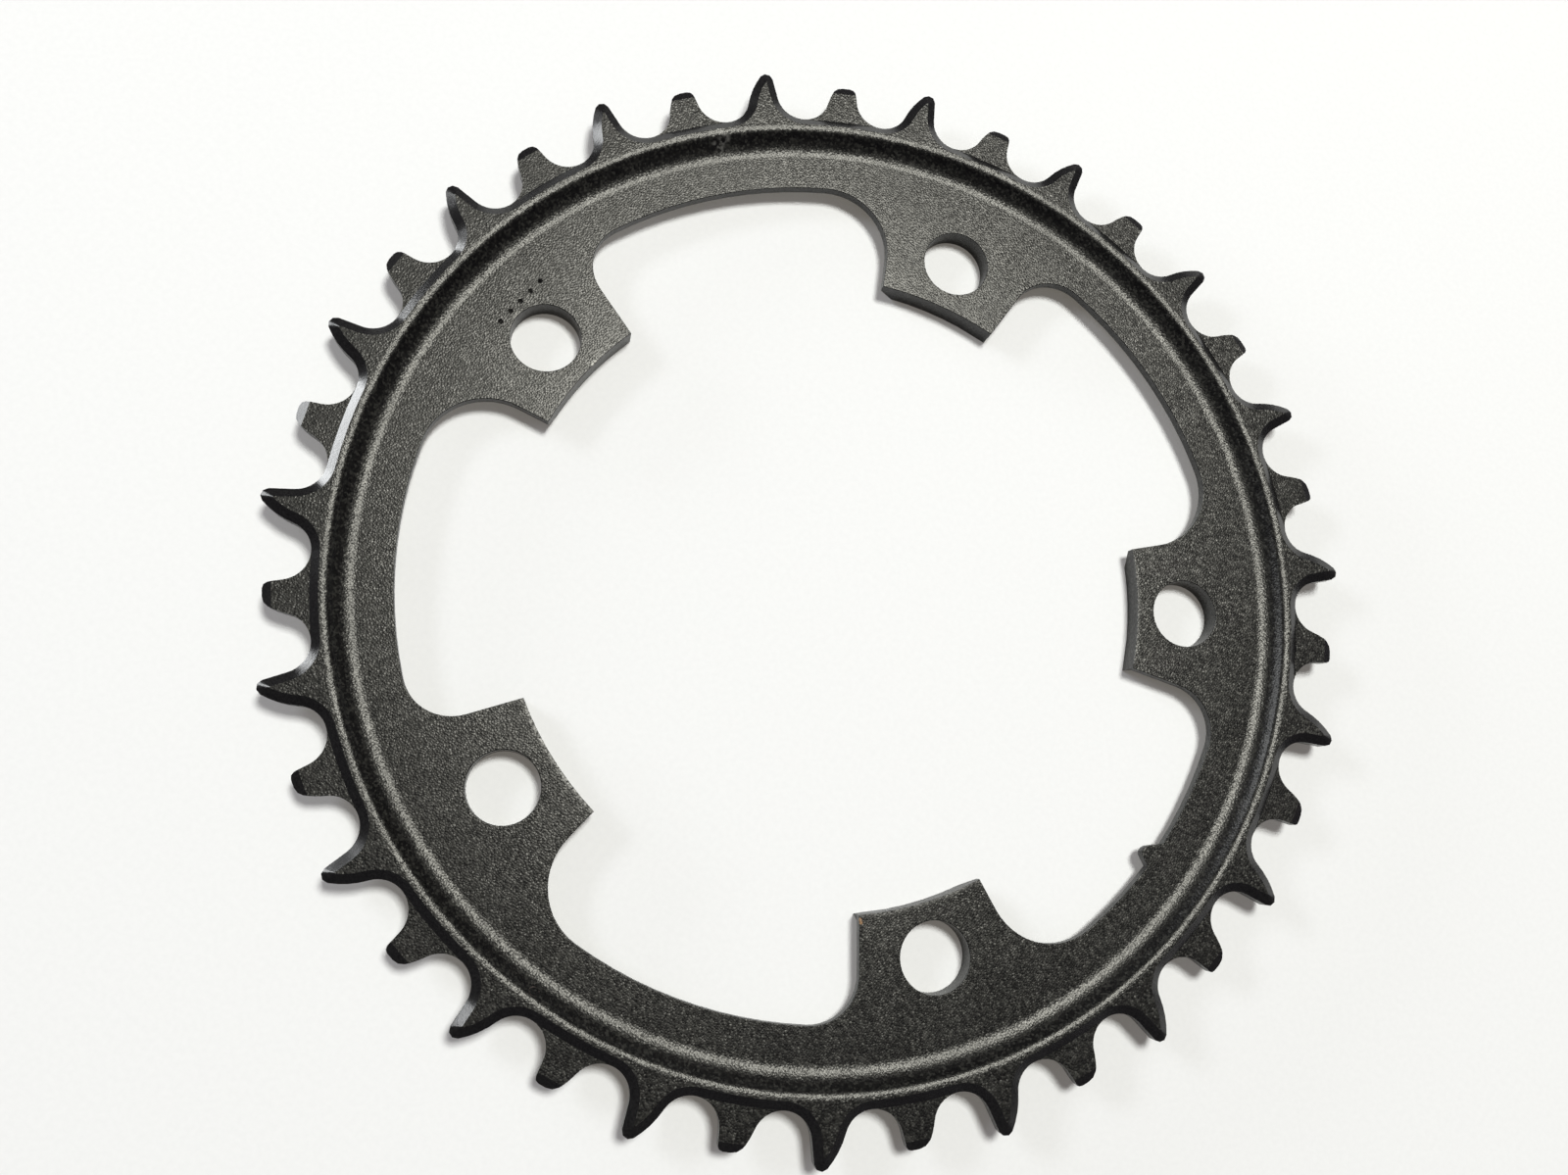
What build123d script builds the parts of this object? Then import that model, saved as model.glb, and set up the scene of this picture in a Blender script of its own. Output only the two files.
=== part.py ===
from build123d import *
import os
from math import cos, radians, sin, sqrt, tan

# One-piece chainring with narrow and wide teeth in turn.
# Spin axis on Z, outer face up, tab pads resting on z = 0, the marked bolt hole on +X.
# A tooth or tab is drawn pointing to +Y; its leading side, clockwise as seen from the outer face, is +X.

# Chain
PITCH = 12.7
PAIRS = 19

# Tooth outline
SEAT_R = 4.1
LEADING_FLANK_TILT = 6.5
TRAILING_FLANK_TILT = 16
TRAILING_FLANK_R = 11.5
WIDE_TIP_R = 1.05
NARROW_RISE = 2.05
NARROW_LEADING_R = 0.8
NARROW_TRAILING_R = 1.7
TIP_COUNT = 3
CORNER_COUNT = 2

# Tooth thickness
NARROW_THICK = 1.8
WIDE_THICK = 3.5
CHAMFER_RUN = 1.3
RIDGE_R = 0.12
BEVEL_RUN = 1.3
BEVEL_DROP = 0.6

# Rim and band
PLATE_THICK = 1.5
RIM_WIDTH = 5.9
HOLLOW_R = 4.0
RIM_SLOPE = 50
BAND_WIDTH = 4.9

# Bolt tabs
BOLTS = 5
BOLT_CIRCLE_R = 55.0
BOLT_HOLE_R = 5.1
TAB_REACH = 7.7
TAB_THICK = 3.6
TAB_LEADING_HALF = 9.28
TAB_LEADING_TILT = 15.5
TAB_LEADING_FILLET = 6.75
TAB_TRAILING_HALF = 9.56
TAB_TRAILING_TILT = 13.6
TAB_TRAILING_FILLET = 9.4
PAD_ROOT_HALF = 8.5
PAD_FOOT_HALF = 7.2
PAD_END_COUNT = 6

# Alignment nub opposite the marked tab
NUB_DEPTH = 2.0
NUB_NOSE = 1.2
NUB_LEADING_RUN = 0.95
NUB_TRAILING_RUN = 2.1
NUB_CORNER = 0.3

# Punched dots beside the marked bolt hole
DOTS = 5
DOT_SIDE_COUNT = 5
DOT_R = 0.45
DOT_DEPTH = 0.25
DOT_STEP = 2.14
DOT_SHIFT = 1.8
DOT_GAP = 1.2

# Sizes that follow
STEP = 180 / PAIRS
PITCH_R = PITCH / (2 * sin(radians(STEP / 2)))
ROOT_R = PITCH_R - SEAT_R
NARROW_TOP = PITCH_R + NARROW_RISE
HOLLOW_START_R = ROOT_R - RIM_WIDTH
WINDOW_R = HOLLOW_START_R - BAND_WIDTH
TAB_STEP = 360 / BOLTS
TAB_INNER_R = BOLT_CIRCLE_R - TAB_REACH
Z_BACK = TAB_THICK - PLATE_THICK
Z_RIM = Z_BACK + WIDE_THICK
Z_MIDDLE = Z_BACK + WIDE_THICK / 2
Z_NARROW = Z_MIDDLE + NARROW_THICK / 2
CLEAR = 1.0

AXIS = Vector(0, 0)
UP = 90


def polar(radius, angle):
    return Vector(radius * cos(radians(angle)), radius * sin(radians(angle)))


def arc(center, start, end):
    """Shorter arc about the center."""
    middle = (start - center) + (end - center)
    return ThreePointArc(start, center + middle.normalized() * (start - center).length, end)


def flats(center, start, end, count):
    """Small round corner about the center, as short flats."""
    spoke = start - center
    sweep = spoke.get_signed_angle(end - center, Vector(0, 0, 1))
    points = [center + spoke.rotate(Axis.Z, sweep * i / count) for i in range(count + 1)]
    return [Line(*ends) for ends in zip(points, points[1:])]


def reach(start, direction, center, radius):
    """Far point where a line leaves a circle."""
    offset = start - center
    ahead = offset.dot(direction)
    return start + direction * (sqrt(ahead**2 - offset.length**2 + radius**2) - ahead)


def turned(edges, angle):
    """Edges drawn pointing to +Y, turned to point at an angle from +X."""
    return [Rot(Z=angle - UP) * edge for edge in edges]


class Tooth:
    """Roller seats and flanks on both sides of a tooth, set in from its wall."""

    def __init__(self, inset):
        self.leading_in = polar(1, 180 + LEADING_FLANK_TILT)
        self.leading_up = polar(1, UP + LEADING_FLANK_TILT)
        trailing_in = polar(1, -TRAILING_FLANK_TILT)
        self.leading_seat = polar(PITCH_R, UP - STEP / 2)
        self.trailing_seat = polar(PITCH_R, UP + STEP / 2)
        self.leading_valley = polar(ROOT_R - inset, UP - STEP / 2)
        self.trailing_valley = polar(ROOT_R - inset, UP + STEP / 2)
        self.leading_join = self.leading_seat + self.leading_in * (SEAT_R + inset)
        self.trailing_join = self.trailing_seat + trailing_in * (SEAT_R + inset)
        self.trailing_center = self.trailing_seat + trailing_in * (SEAT_R + TRAILING_FLANK_R)
        self.trailing_r = TRAILING_FLANK_R - inset

    def beside_leading(self, gap):
        """Start of a line along the leading flank, at a gap inside it."""
        return self.leading_join + self.leading_in * gap

    def on_trailing(self, point):
        """Point of the trailing flank that is nearest to a point."""
        return self.trailing_center + (point - self.trailing_center).normalized() * self.trailing_r

    def around(self, top):
        """Edges from valley to valley, with the top edges between the flanks."""
        return [
            arc(self.trailing_seat, self.trailing_valley, self.trailing_join),
            arc(self.trailing_center, self.trailing_join, top[0] @ 0),
            *top,
            Line(top[-1] @ 1, self.leading_join),
            arc(self.leading_seat, self.leading_join, self.leading_valley),
        ]


def wide_tooth(inset, tip_r):
    tooth = Tooth(inset)
    start = tooth.beside_leading(tip_r)
    tip = reach(start, tooth.leading_up, tooth.trailing_center, tooth.trailing_r - tip_r)
    return tooth.around(flats(tip, tooth.on_trailing(tip), tip - tooth.leading_in * tip_r, TIP_COUNT))


def narrow_tooth():
    tooth = Tooth(0)
    start = Vector(0, NARROW_TOP - NARROW_TRAILING_R)
    trailing = reach(start, Vector(-1, 0), tooth.trailing_center, tooth.trailing_r - NARROW_TRAILING_R)
    foot = tooth.beside_leading(NARROW_LEADING_R)
    climb = NARROW_TOP - NARROW_LEADING_R - foot.Y
    leading = foot + tooth.leading_up * (climb / tooth.leading_up.Y)
    trailing_top = trailing + Vector(0, NARROW_TRAILING_R)
    leading_top = leading + Vector(0, NARROW_LEADING_R)
    leading_end = leading - tooth.leading_in * NARROW_LEADING_R
    return tooth.around([
        *flats(trailing, tooth.on_trailing(trailing), trailing_top, CORNER_COUNT),
        Line(trailing_top, leading_top),
        *flats(leading, leading_top, leading_end, CORNER_COUNT),
    ])


def narrow_root(inset):
    """Rim edge that stays where a narrow tooth stands thinner than the rim."""
    tooth = Tooth(inset)
    return [arc(AXIS, tooth.trailing_valley, tooth.leading_valley)]


def ring_of(narrow_edges, wide_edges):
    """Closed outline through all tooth pairs, clockwise."""
    edges = []
    for pair in range(PAIRS):
        turn = -2 * pair * STEP
        edges += turned(narrow_edges, turn + STEP / 2)
        edges += turned(wide_edges, turn - STEP / 2)
    return Wire(edges)


def narrow_bevels():
    """Wedges that thin the tops of the narrow teeth from both faces."""
    start = NARROW_TOP - BEVEL_RUN
    end = NARROW_TOP + BEVEL_RUN
    low = Z_NARROW - 2 * BEVEL_DROP
    section = Plane.YZ * Polygon((start, Z_NARROW), (end, low), (end, Z_RIM), (start, Z_RIM), align=None)
    front = extrude(section, SEAT_R, both=True)
    back = mirror(front, Plane.XY.offset(Z_MIDDLE))
    turns = [STEP / 2 + 2 * pair * STEP - UP for pair in range(PAIRS)]
    return [Rot(Z=turn) * wedge for turn in turns for wedge in (front, back)]


def toothed_disc():
    """Disc as thick as the narrow teeth, with the raised rim and wide teeth on both faces."""
    outline = ring_of(narrow_tooth(), wide_tooth(0, WIDE_TIP_R))
    core = Pos(Z=Z_NARROW - NARROW_THICK) * extrude(make_face(outline), NARROW_THICK)
    chamfer_foot = ring_of(narrow_root(0), wide_tooth(0, WIDE_TIP_R))
    chamfer_top = ring_of(narrow_root(CHAMFER_RUN), wide_tooth(CHAMFER_RUN, RIDGE_R))
    front = Solid.make_loft([Pos(Z=Z_NARROW) * chamfer_foot, Pos(Z=Z_RIM) * chamfer_top], ruled=True)
    back = mirror(front, Plane.XY.offset(Z_MIDDLE))
    return core - narrow_bevels() + front + back


def front_hollow():
    """Space over the plate, inside the crest of the rim."""
    lean = radians(RIM_SLOPE)
    floor_end = Vector(HOLLOW_START_R, TAB_THICK)
    slope_start = floor_end + Vector(sin(lean), 1 - cos(lean)) * HOLLOW_R
    climb = Z_RIM - slope_start.Y
    crest = slope_start + Vector(climb / tan(lean), climb)
    top = Z_RIM + CLEAR
    section = make_face([
        Line((0, TAB_THICK), floor_end),
        arc(floor_end + Vector(0, HOLLOW_R), floor_end, slope_start),
        Polyline(slope_start, crest, (crest.X, top), (0, top), (0, TAB_THICK)),
    ])
    return revolve(Plane.XZ * section, Axis.Z)


def tab_side(side, half, lean, fillet_r):
    """Inner corner, fillet ends and fillet center of one side of a tab."""
    lean = radians(lean)
    along = Vector(side * sin(lean), cos(lean))
    away = Vector(side * cos(lean), -sin(lean))
    start = Vector(side * half, TAB_INNER_R)
    corner = reach(start, along, AXIS, TAB_INNER_R)
    center = reach(start + away * fillet_r, along, AXIS, WINDOW_R - fillet_r)
    return corner, center - away * fillet_r, center.normalized() * WINDOW_R, center


def nub():
    nose = WINDOW_R - NUB_DEPTH
    base = WINDOW_R + CLEAR
    trailing = -NUB_TRAILING_RUN
    leading = NUB_NOSE + NUB_LEADING_RUN
    shape = Polygon(
        (trailing, WINDOW_R), (0, nose), (NUB_NOSE, nose),
        (leading, WINDOW_R), (leading, base), (trailing, base), align=None)
    return chamfer(shape.vertices().sort_by(Axis.Y)[:2], NUB_CORNER)


def central_opening():
    """Opening with a window between each two tabs, and the nub left standing in one."""
    corner, foot, end, center = tab_side(1, TAB_LEADING_HALF, TAB_LEADING_TILT, TAB_LEADING_FILLET)
    far_corner, far_foot, far_end, far_center = tab_side(
        -1, TAB_TRAILING_HALF, TAB_TRAILING_TILT, TAB_TRAILING_FILLET)
    tab = [
        arc(center, end, foot),
        Line(foot, corner),
        arc(AXIS, corner, far_corner),
        Line(far_corner, far_foot),
        arc(far_center, far_foot, far_end),
        arc(AXIS, far_end, end.rotate(Axis.Z, TAB_STEP)),
    ]
    outline = [edge for bolt in range(BOLTS) for edge in turned(tab, bolt * TAB_STEP)]
    return make_face(outline) - Rot(Z=UP) * nub()


def pad():
    """Seat behind a tab, sloping in from the back of the plate to its foot."""
    outlines = []
    bolt = Vector(0, BOLT_CIRCLE_R)
    inner = Vector(0, TAB_INNER_R - TAB_REACH)
    for half, height in ((PAD_FOOT_HALF, 0), (PAD_ROOT_HALF, Z_BACK)):
        aside = Vector(half, 0)
        outer = Vector(0, half)
        outlines.append(Pos(Z=height) * Wire([
            *flats(bolt, bolt + aside, bolt + outer, PAD_END_COUNT // 2),
            *flats(bolt, bolt + outer, bolt - aside, PAD_END_COUNT // 2),
            *Polyline(bolt - aside, inner - aside, inner + aside, bolt + aside).edges(),
        ]))
    return Solid.make_loft(outlines, ruled=True)


def dot_row():
    """Punch marks in a row just outside the marked bolt hole."""
    row_r = BOLT_CIRCLE_R + BOLT_HOLE_R + DOT_GAP
    marks = []
    for dot in range(DOTS):
        aside = DOT_SHIFT + (dot - (DOTS - 1) / 2) * DOT_STEP
        mouth = Pos(row_r, -aside, TAB_THICK) * RegularPolygon(DOT_R, DOT_SIDE_COUNT)
        point = Vertex(row_r, -aside, TAB_THICK - DOT_DEPTH)
        marks.append(Solid.make_loft([mouth.wire(), point], ruled=True))
    return marks


def chainring():
    pads = [Rot(Z=bolt * TAB_STEP - UP) * pad() for bolt in range(BOLTS)]
    holes = PolarLocations(BOLT_CIRCLE_R, BOLTS) * Cylinder(
        BOLT_HOLE_R, TAB_THICK, align=(Align.CENTER, Align.CENTER, Align.MIN))
    blank = toothed_disc() - front_hollow() + pads
    return blank - extrude(central_opening(), Z_RIM) - holes - dot_row()


os.makedirs("parts", exist_ok=True)
export_step(chainring(), "parts/chainring.step")
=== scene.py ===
import bmesh
import bpy
from math import cos, pi, radians, sin, tan
from mathutils import Euler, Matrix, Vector


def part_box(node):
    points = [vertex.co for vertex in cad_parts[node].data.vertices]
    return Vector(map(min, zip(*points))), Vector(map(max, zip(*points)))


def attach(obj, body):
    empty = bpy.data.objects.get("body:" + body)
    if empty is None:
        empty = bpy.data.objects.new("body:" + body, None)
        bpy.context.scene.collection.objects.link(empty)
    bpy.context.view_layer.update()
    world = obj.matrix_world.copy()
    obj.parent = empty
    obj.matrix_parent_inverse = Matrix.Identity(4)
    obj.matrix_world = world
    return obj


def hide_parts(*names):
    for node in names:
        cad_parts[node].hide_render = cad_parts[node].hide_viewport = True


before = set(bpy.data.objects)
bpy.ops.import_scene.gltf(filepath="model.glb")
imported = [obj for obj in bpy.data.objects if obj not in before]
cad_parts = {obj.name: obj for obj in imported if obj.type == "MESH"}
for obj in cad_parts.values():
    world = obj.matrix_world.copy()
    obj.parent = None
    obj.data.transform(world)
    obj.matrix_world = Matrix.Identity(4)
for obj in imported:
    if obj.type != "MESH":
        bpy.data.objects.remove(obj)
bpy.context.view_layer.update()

# Lengths are in metres
MM = 0.001
cad_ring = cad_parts["chainring"]
low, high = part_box("chainring")

# Heights of the ring
Z_PLATE = 3.6 * MM
Z_BACK = 2.1 * MM
Z_RIM = high.z

# Room for rounding when places are compared, and when points are welded
SAME = 0.02 * MM
WELD = 0.001 * MM

# Rim section, from the plate up over the crest
HOLLOW_START_R = 66.9 * MM
HOLLOW_R = 4.0 * MM
RIM_SLOPE = radians(50)
CREST_SLOPE_RUN = 0.6 * MM
CREST_TOP_RUN = 1.0 * MM
HOLLOW_STEPS = 14
CREST_STEPS = 10
AROUND = 380

# Bolt tabs, and half the width of the pads behind them
TABS = 5
TAB_INNER_R = 47.3 * MM
TAB_HALF_LIMIT = 10.0 * MM
PAD_FOOT_HALF = 7.2 * MM

# Rolled edges of windows and holes. The punched dots have few sides and stay sharp
ROLL = 0.15 * MM
ROLL_STEPS = 4
DOT_MOST_SIDES = 7

# Which faces are front faces and chamfers, by how far up they look, and which edges stay sharp
FRONT_UP = 0.5
CHAMFER_UP = (0.6, 0.96)
RIM_EDGE_R = 71.0 * MM
TIP_R = 77.0 * MM
SHARP = radians(20)

# Coat: a fine grain all over, and broader patches of gloss. The chamfers have a smoother coat
GRAIN = 0.31 * MM
GRAIN_DEPTH = -0.03 * MM
GRAIN_TILT = 0.1
FINE_DEPTH = 0.006 * MM
PATCH = 9 * MM
PATCH_RANGE = (0.3, 0.7)
COAT_ROUGHNESS = (0.31, 0.35)
SMOOTH_ROUGHNESS = (0.16, 0.2)
COAT_SPECULAR = 0.33
SMOOTH_SPECULAR = 0.48
COAT_SPECKLE = (
    (0.0, (0.001, 0.001, 0.001)),
    (0.6, (0.005, 0.005, 0.0045)),
    (1.0, (0.024, 0.024, 0.022)),
)
SMOOTH_SPECKLE = ((0.3, (0.003, 0.003, 0.003)), (0.7, (0.01, 0.01, 0.01)))

# Marks of use, each with its place on the ring in millimetres and how far it reaches
SPOT_CORE = 0.5
SCUFF_GRAIN = 0.7 * MM
SCUFF_RANGE = (0.45, 0.6)
SCUFFS = (
    ((57.4, -42.7, 5.6), 1.2 * MM),
    ((56.0, -42.1, 5.14), 1.0 * MM),
    ((56.2, -40.8, 4.5), 1.3 * MM),
)
SCUFF_COLOR = (0.09, 0.09, 0.088, 1)
CHIPS = (((47.41, -1.55, 3.6), 0.32 * MM), ((47.45, -2.13, 3.6), 0.25 * MM))
CHIP_COLOR = (0.3, 0.3, 0.28, 1)
RUST = (((-32.73, 35.05, 3.6), 0.35 * MM), ((-33.11, 35.26, 3.6), 0.3 * MM))
RUST_COLOR = (0.2, 0.11, 0.05, 1)

# A fine curl on the rim, part of a ring round one point
HAIR_AT = (-3.7, 69.66, 4.8)
HAIR_R = 0.7 * MM
HAIR_WIDTH = 0.1 * MM
HAIR_CORE = 0.04 * MM
HAIR_COLOR = (0.06, 0.05, 0.047, 1)

# Lighter front edges of the tabs, partly wear and partly a painted highlight of the rolled edges: the turn
# of each round the ring, in degrees, and its share of the lightening
SHEEN_WEAR_EDGES = ((0, 0.2), (72, 1.0), (144, 0.35), (216, 0.35))
SHEEN_WEAR_R = (47.55 * MM, 47.9 * MM)
SHEEN_WEAR_Z = (3.35 * MM, 3.5 * MM)
SHEEN_WEAR_REACH = 14 * MM
SHEEN_WEAR_GRAIN = 0.45 * MM
SHEEN_WEAR_RANGE = (0.4, 0.6)
# Colour of the painted edge highlight mixed with wear
SHEEN_WEAR_COLOR = (0.24, 0.24, 0.235, 1)

# Paper, which glows a little near the ring and more far away, and the pale surround
FIBRE = 0.8 * MM
PAPER_ROUGHNESS = 0.9
PAPER_SPECKLE = ((0.3, (0.63, 0.65, 0.7)), (0.7, (0.65, 0.67, 0.72)))
PAPER_GLOW = ((0, (0.125, 0.116, 0.095)), (1, (0.74, 0.74, 0.73)))
GLOW_REACH = (0.3, 1.2)
FLOOR_SIZE = 12
FLOOR_GAP = 0.01 * MM
BACKDROP_R = 5
BACKDROP_COLOR = (0.79, 0.79, 0.78, 1)
BLACK = (0, 0, 0, 1)

# Camera, where the photo was taken from. The turns are in degrees, lens and sensor in millimetres
CAMERA_AT = Vector((9.007, 52.396, 182.92)) * MM
CAMERA_TURN = (10.5542, -10.2901, -140.8728)
LENS = 29.3855
SENSOR = 36
CLIP_START = 0.01

# Lights: name, direction from the ring, width, height, watts and colour
LIGHT_DISTANCE = 1.5
WARM = (1, 0.985, 0.88)
COOL = (0.97, 0.99, 1)
LIGHTS = (
    ("ceiling", (0.055, -0.33, 1), 0.4, 0.4, 25, WARM),
    ("left", (0.988, 0.148, 0.133), 0.85, 0.2, 8.5, COOL),
    ("left top", (0.985, 0.174, 0.5), 0.6, 0.25, 5.5, COOL),
)
ROOM = (0.095, 0.087, 0.105, 1)

# Colour sockets of Blender's mix node, by number
MIX_UNDER = 6
MIX_OVER = 7
MIX_RESULT = 2


def radius(point):
    return point.xy.length


def outward_at(turn):
    """Direction away from the axis, at a turn round the ring."""
    return Vector((cos(turn), sin(turn), 0))


def rim_profile():
    """Points (radius, height) up the hollow, over the slope and round the crest."""
    center = Vector((HOLLOW_START_R, Z_PLATE + HOLLOW_R))
    turns = [RIM_SLOPE * i / HOLLOW_STEPS for i in range(HOLLOW_STEPS + 1)]
    hollow = [center + HOLLOW_R * Vector((sin(turn), -cos(turn))) for turn in turns]
    climb = Z_RIM - hollow[-1].y
    crest = Vector((hollow[-1].x + climb / tan(RIM_SLOPE), Z_RIM))
    below = crest - CREST_SLOPE_RUN * Vector((cos(RIM_SLOPE), sin(RIM_SLOPE)))
    beyond = crest + CREST_TOP_RUN * Vector((1, 0))
    shares = [i / CREST_STEPS for i in range(CREST_STEPS + 1)]
    return hollow + [below.lerp(crest, t).lerp(crest.lerp(beyond, t), t) for t in shares]


def strip(mesh, first, second):
    """Closed band of faces between two loops of vertices."""
    for i in range(len(first)):
        mesh.faces.new((first[i - 1], first[i], second[i], second[i - 1]))


def loop_edges(mesh, loop):
    """Edges round a loop of vertices, made where there are none yet."""
    return [mesh.edges.get((loop[i - 1], loop[i])) or mesh.edges.new((loop[i - 1], loop[i]))
            for i in range(len(loop))]


def open_loops(mesh, height):
    """Loops of open edges at one height, each a list of vertices in order."""
    edges = {edge for edge in mesh.edges if edge.is_boundary
             and all(abs(vert.co.z - height) < SAME for vert in edge.verts)}
    loops = []
    while edges:
        edge = edges.pop()
        loop = list(edge.verts)
        while True:
            ahead = [near for near in loop[-1].link_edges if near in edges]
            if not ahead:
                break
            edges.remove(ahead[0])
            loop.append(ahead[0].other_vert(loop[-1]))
        loops.append(loop[:-1])
    return loops


def rolled(mesh, loop):
    """Rounds the edge of a wall over to the plate, and returns the loop on the plate."""
    edges = loop_edges(mesh, loop)
    walls = [edge.link_faces[0].normal.copy() for edge in edges]
    inward = []
    for i in range(len(loop)):
        one, two = walls[i], walls[(i + 1) % len(loop)]
        inward.append(-(one + two) / (1 + one.dot(two)))
    rings = [loop]
    for step in range(1, ROLL_STEPS + 1):
        turn = pi / 2 * step / ROLL_STEPS
        rings.append([
            mesh.verts.new(vert.co + ROLL * ((1 - cos(turn)) * side + Vector((0, 0, sin(turn) - 1))))
            for vert, side in zip(loop, inward)])
    for vert in loop:
        vert.co.z -= ROLL
    for first, second in zip(rings, rings[1:]):
        strip(mesh, first, second)
    return rings[-1]


def fill(mesh, loops):
    """Flat faces between the loops of one height."""
    edges = [edge for loop in loops for edge in loop_edges(mesh, loop)]
    bmesh.ops.triangle_fill(mesh, use_beauty=True, edges=edges, normal=(0, 0, 1))


def front_face(face):
    """True for faces of the plate, of the rim's hollow and slope, and of the rim's top."""
    if face.normal.z < FRONT_UP:
        return False
    heights = [vert.co.z for vert in face.verts]
    flat = max(heights) - min(heights) < SAME
    on_plate = flat and abs(heights[0] - Z_PLATE) < SAME
    on_rim = flat and abs(heights[0] - Z_RIM) < SAME
    inside_rim = max(radius(vert.co) for vert in face.verts) < RIM_EDGE_R
    in_hollow = min(heights) > Z_PLATE - SAME and inside_rim
    return on_plate or on_rim or in_hollow


def finish_edges(mesh):
    """Marks the sharp edges, and gives the chamfers of the teeth the smoother coat."""
    for face in mesh.faces:
        face.smooth = True
        tilted = CHAMFER_UP[0] < abs(face.normal.z) < CHAMFER_UP[1]
        face.material_index = int(tilted and radius(face.calc_center_median()) > RIM_EDGE_R)
    for edge in mesh.edges:
        at_tip = min(radius(vert.co) for vert in edge.verts) > TIP_R
        run = edge.verts[0].co - edge.verts[1].co
        upright = abs(run.z) > run.xy.length
        edge.smooth = edge.calc_face_angle(0) < SHARP or (at_tip and upright)


def square_pads(mesh):
    """Brings the ends of each pad out to its tab's corners.

    The leading end, clockwise as seen from the front, becomes upright. The other becomes a taper.
    """
    for tab in range(TABS):
        turn = 2 * pi * tab / TABS
        outward = outward_at(turn)
        ahead = outward_at(turn - pi / 2)

        def along(vert):
            return vert.co.dot(ahead)

        inner = [vert for vert in mesh.verts
                 if vert.co.z < Z_BACK + SAME and radius(vert.co) < TAB_INNER_R + SAME
                 and vert.co.dot(outward) > 0
                 and PAD_FOOT_HALF - SAME < abs(along(vert)) < TAB_HALF_LIMIT]
        leading = [vert for vert in inner if along(vert) > 0]
        corner = max(leading, key=along).co.xy
        for vert in leading:
            vert.co.xy = corner
        trailing = [vert for vert in inner if along(vert) < 0]
        foot = max(trailing, key=along).co.xy
        corner = min(trailing, key=along).co.xy
        for vert in trailing:
            vert.co.xy = foot.lerp(corner, vert.co.z / Z_BACK)
    bmesh.ops.remove_doubles(mesh, verts=mesh.verts, dist=WELD)


def dressed_ring():
    """The solid's own mesh, with squared pads, a finer rim, and rolled edges on its front."""
    mesh = bmesh.new()
    mesh.from_mesh(cad_ring.data)
    bmesh.ops.remove_doubles(mesh, verts=mesh.verts, dist=WELD)
    square_pads(mesh)
    mesh.normal_update()
    bmesh.ops.delete(mesh, geom=[face for face in mesh.faces if front_face(face)], context="FACES")
    turns = [2 * pi * i / AROUND for i in range(AROUND)]
    rings = []
    for point in rim_profile():
        rings.append([mesh.verts.new((point.x * cos(turn), point.x * sin(turn), point.y)) for turn in turns])
    on_plate = open_loops(mesh, Z_PLATE)
    on_rim = open_loops(mesh, Z_RIM)
    for first, second in zip(rings, rings[1:]):
        strip(mesh, first, second)
    dots = [loop for loop in on_plate if len(loop) <= DOT_MOST_SIDES]
    rolls = [rolled(mesh, loop) for loop in on_plate if loop not in dots]
    fill(mesh, rolls + dots + [rings[0]])
    fill(mesh, on_rim + [rings[-1]])
    bmesh.ops.recalc_face_normals(mesh, faces=mesh.faces)
    finish_edges(mesh)
    data = bpy.data.meshes.new("chainring_dressed")
    mesh.to_mesh(data)
    mesh.free()
    piece = bpy.data.objects.new("chainring_dressed", data)
    bpy.context.scene.collection.objects.link(piece)
    shading = piece.modifiers.new("shading", "WEIGHTED_NORMAL")
    shading.keep_sharp = True
    return piece


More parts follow.
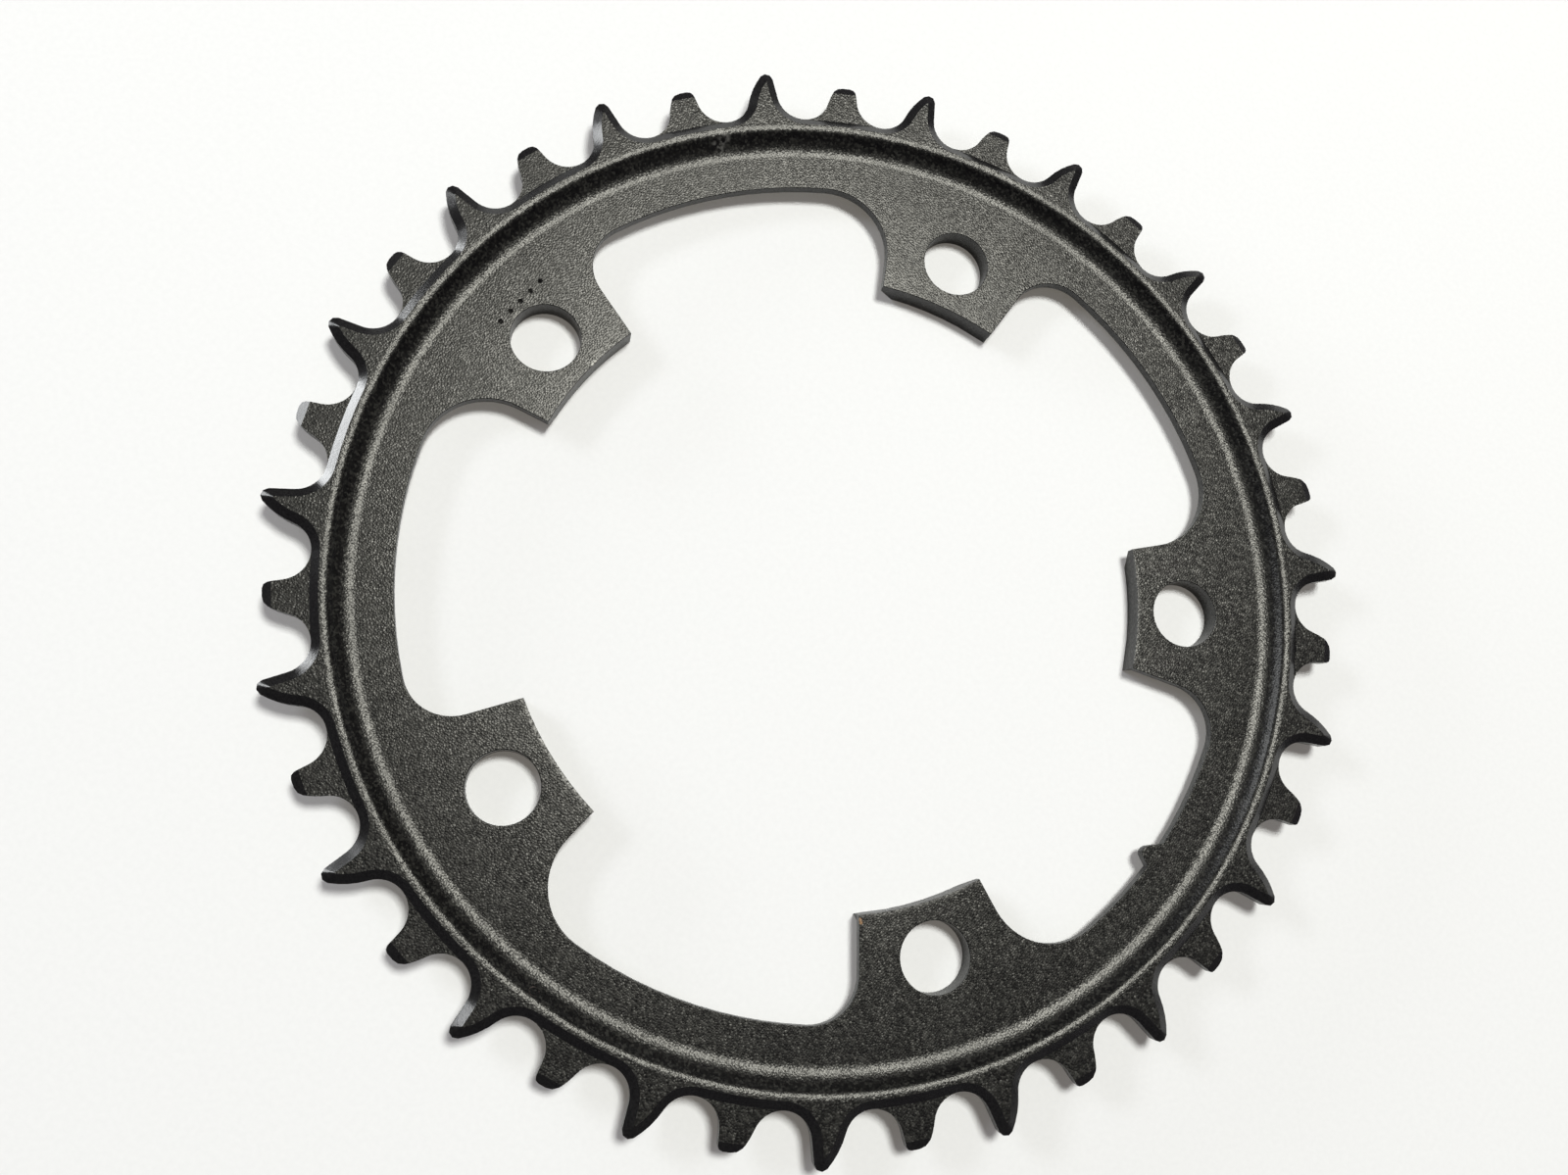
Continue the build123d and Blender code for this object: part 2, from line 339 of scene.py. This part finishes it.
class Nodes:
    """Short ways to add and join the nodes of one material."""

    def __init__(self, material):
        material.use_nodes = True
        self.tree = material.node_tree
        self.shader = self.tree.nodes["Principled BSDF"]
        self.place = self.add("ShaderNodeTexCoord").outputs["Object"]

    def put(self, socket, value):
        """Links a socket to another one, or sets it to a plain value."""
        if isinstance(value, bpy.types.NodeSocket):
            self.tree.links.new(value, socket)
        else:
            socket.default_value = value

    def add(self, kind, inputs=(), **settings):
        node = self.tree.nodes.new(kind)
        for name, value in settings.items():
            setattr(node, name, value)
        for key, value in dict(inputs).items():
            self.put(node.inputs[key], value)
        return node

    def shade(self, **inputs):
        """Sets inputs of the shader, with _ for each space in their names."""
        for name, value in inputs.items():
            self.put(self.shader.inputs[name.replace("_", " ")], value)

    def math(self, operation, one, two=0):
        return self.add("ShaderNodeMath", {0: one, 1: two}, operation=operation).outputs[0]

    def vector(self, operation, *inputs):
        return self.add("ShaderNodeVectorMath", enumerate(inputs), operation=operation)

    def spread(self, value, start, end, first, last):
        """Goes from the first to the last number as a value goes from start to end."""
        inputs = {"Value": value, "From Min": start, "From Max": end, "To Min": first, "To Max": last}
        return self.add("ShaderNodeMapRange", inputs).outputs[0]

    def ramp(self, value, stops):
        """Colour by value, through (value, colour) stops."""
        node = self.add("ShaderNodeValToRGB", {"Fac": value})
        elements = node.color_ramp.elements
        while len(elements) < len(stops):
            elements.new(1)
        for element, (position, color) in zip(elements, stops):
            element.position = position
            element.color = (*color, 1)
        return node.outputs["Color"]

    def over(self, mask, under, color):
        """A colour laid over another where a mask is 1."""
        inputs = {"Factor": mask, MIX_UNDER: under, MIX_OVER: color}
        return self.add("ShaderNodeMix", inputs, data_type="RGBA").outputs[MIX_RESULT]

    def noise(self, size):
        """Soft noise whose lumps are about one size across, from 0 to 1."""
        return self.add("ShaderNodeTexNoise", {"Vector": self.place, "Scale": 1 / size}).outputs[0]

    def patches(self, size, limits):
        """A mask of noise: 0 where it is below the limits and 1 where it is above."""
        return self.spread(self.noise(size), *limits, 0, 1)

    def gloss(self, roughness):
        """Roughness that wanders between two values in broad patches."""
        return self.spread(self.noise(PATCH), *PATCH_RANGE, *roughness)

    def cells(self, size):
        """Grains of one size: each one's random colour, and the distance from its middle."""
        node = self.add("ShaderNodeTexVoronoi", {"Vector": self.place, "Scale": 1 / size})
        return node.outputs["Color"], node.outputs["Distance"]

    def red(self, color):
        return self.add("ShaderNodeSeparateColor", {"Color": color}).outputs["Red"]

    def bump(self, height, depth):
        inputs = {"Height": height, "Strength": 1, "Distance": depth}
        return self.add("ShaderNodeBump", inputs).outputs[0]

    def facets(self, normal, color, tilt):
        """A normal that leans its own way in each grain."""
        lean = self.vector("MULTIPLY_ADD", color, [tilt] * 3, [-tilt / 2] * 3).outputs[0]
        bent = self.vector("ADD", normal, lean).outputs[0]
        return self.vector("NORMALIZE", bent).outputs[0]

    def far(self, point):
        """Distance from a point of the ring that is given in millimetres."""
        return self.vector("DISTANCE", self.place, Vector(point) * MM).outputs["Value"]

    def from_axis(self):
        flat = self.vector("MULTIPLY", self.place, (1, 1, 0)).outputs[0]
        return self.vector("LENGTH", flat).outputs["Value"]

    def height(self):
        return self.add("ShaderNodeSeparateXYZ", {0: self.place}).outputs["Z"]

    def spot(self, point, reach):
        """A mask that is 1 round a point and fades to 0 at its reach."""
        return self.spread(self.far(point), SPOT_CORE * reach, reach, 1, 0)


def sheen_and_wear_edges(n, color):
    """Lays a lighter colour along the tabs' front edges over a colour: partly wear, partly a painted
    highlight of the rolled edges.
    """
    edge = n.math("MULTIPLY", n.spread(n.from_axis(), *SHEEN_WEAR_R, 1, 0), n.spread(n.height(), *SHEEN_WEAR_Z, 0, 1))
    edge = n.math("MULTIPLY", edge, n.patches(SHEEN_WEAR_GRAIN, SHEEN_WEAR_RANGE))
    for turn, share in SHEEN_WEAR_EDGES:
        middle = outward_at(radians(turn)) * (TAB_INNER_R / MM)
        sheen_and_wear = n.math("MULTIPLY", n.spot(middle, SHEEN_WEAR_REACH), share)
        # Painted highlight and wear along this tab's front edge
        color = n.over(n.math("MULTIPLY", edge, sheen_and_wear), color, SHEEN_WEAR_COLOR)
    return color


def black_coat():
    material = bpy.data.materials.new("black_coat")
    n = Nodes(material)
    tint, distance = n.cells(GRAIN)
    color = n.ramp(n.red(tint), COAT_SPECKLE)
    broken = n.patches(SCUFF_GRAIN, SCUFF_RANGE)
    for point, reach in SCUFFS:
        color = n.over(n.math("MULTIPLY", broken, n.spot(point, reach)), color, SCUFF_COLOR)
    for point, reach in CHIPS:
        color = n.over(n.spot(point, reach), color, CHIP_COLOR)
    for point, reach in RUST:
        color = n.over(n.spot(point, reach), color, RUST_COLOR)
    # Lighter tab edges: painted highlight of the rolled edges, mixed with wear
    color = sheen_and_wear_edges(n, color)
    from_hair = n.math("ABSOLUTE", n.math("SUBTRACT", n.far(HAIR_AT), HAIR_R))
    hair = n.spread(from_hair, HAIR_CORE, HAIR_WIDTH, 1, 0)
    color = n.over(n.math("MULTIPLY", broken, hair), color, HAIR_COLOR)
    normal = n.facets(n.bump(distance, GRAIN_DEPTH), tint, GRAIN_TILT)
    n.shade(Base_Color=color, Roughness=n.gloss(COAT_ROUGHNESS), Normal=normal,
            Specular_IOR_Level=COAT_SPECULAR)
    return material


def smooth_coat():
    material = bpy.data.materials.new("smooth_coat")
    n = Nodes(material)
    grain = n.noise(GRAIN)
    n.shade(Base_Color=n.ramp(grain, SMOOTH_SPECKLE), Roughness=n.gloss(SMOOTH_ROUGHNESS),
            Normal=n.bump(grain, FINE_DEPTH), Specular_IOR_Level=SMOOTH_SPECULAR)
    return material


def paper():
    """The floor, whose glow keeps the shadows as pale as the photo's."""
    material = bpy.data.materials.new("paper")
    n = Nodes(material)
    glow = n.ramp(n.spread(n.far((0, 0, 0)), *GLOW_REACH, 0, 1), PAPER_GLOW)
    n.shade(Base_Color=n.ramp(n.noise(FIBRE), PAPER_SPECKLE), Roughness=PAPER_ROUGHNESS,
            Emission_Color=glow, Emission_Strength=1)
    bpy.ops.mesh.primitive_plane_add(size=FLOOR_SIZE, location=(0, 0, low.z - FLOOR_GAP))
    floor = bpy.context.object
    floor.name = "floor"
    floor.data.materials.append(material)


def backdrop():
    """A pale surround that only the camera sees, so that none of its light reaches the ring."""
    material = bpy.data.materials.new("backdrop")
    Nodes(material).shade(Base_Color=BLACK, Emission_Color=BACKDROP_COLOR, Emission_Strength=1)
    bpy.ops.mesh.primitive_uv_sphere_add(radius=BACKDROP_R)
    dome = bpy.context.object
    dome.name = "backdrop"
    dome.data.materials.append(material)
    dome.visible_diffuse = False
    dome.visible_glossy = False
    dome.visible_shadow = False


def soft_light(name, direction, width, height, watts, color):
    data = bpy.data.lights.new(name, "AREA")
    data.shape = "ELLIPSE"
    data.size = width
    data.size_y = height
    data.energy = watts
    data.color = color
    light = bpy.data.objects.new(name, data)
    light.location = Vector(direction).normalized() * LIGHT_DISTANCE
    light.rotation_euler = Vector(direction).to_track_quat("Z", "Y").to_euler()
    bpy.context.scene.collection.objects.link(light)


def studio():
    scene = bpy.context.scene
    scene.view_settings.view_transform = "Standard"
    scene.world = bpy.data.worlds.new("studio")
    scene.world.use_nodes = True
    scene.world.node_tree.nodes["Background"].inputs["Color"].default_value = ROOM
    for light in LIGHTS:
        soft_light(*light)


def camera():
    data = bpy.data.cameras.new("camera")
    data.lens = LENS
    data.sensor_width = SENSOR
    data.sensor_fit = "HORIZONTAL"
    data.clip_start = CLIP_START
    view = bpy.data.objects.new("camera", data)
    view.location = CAMERA_AT
    view.rotation_euler = Euler([radians(turn) for turn in CAMERA_TURN])
    bpy.context.scene.collection.objects.link(view)
    bpy.context.scene.camera = view


ring = dressed_ring()
ring.data.materials.append(black_coat())
ring.data.materials.append(smooth_coat())
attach(ring, "root")
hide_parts("chainring")
paper()
backdrop()
studio()
camera()
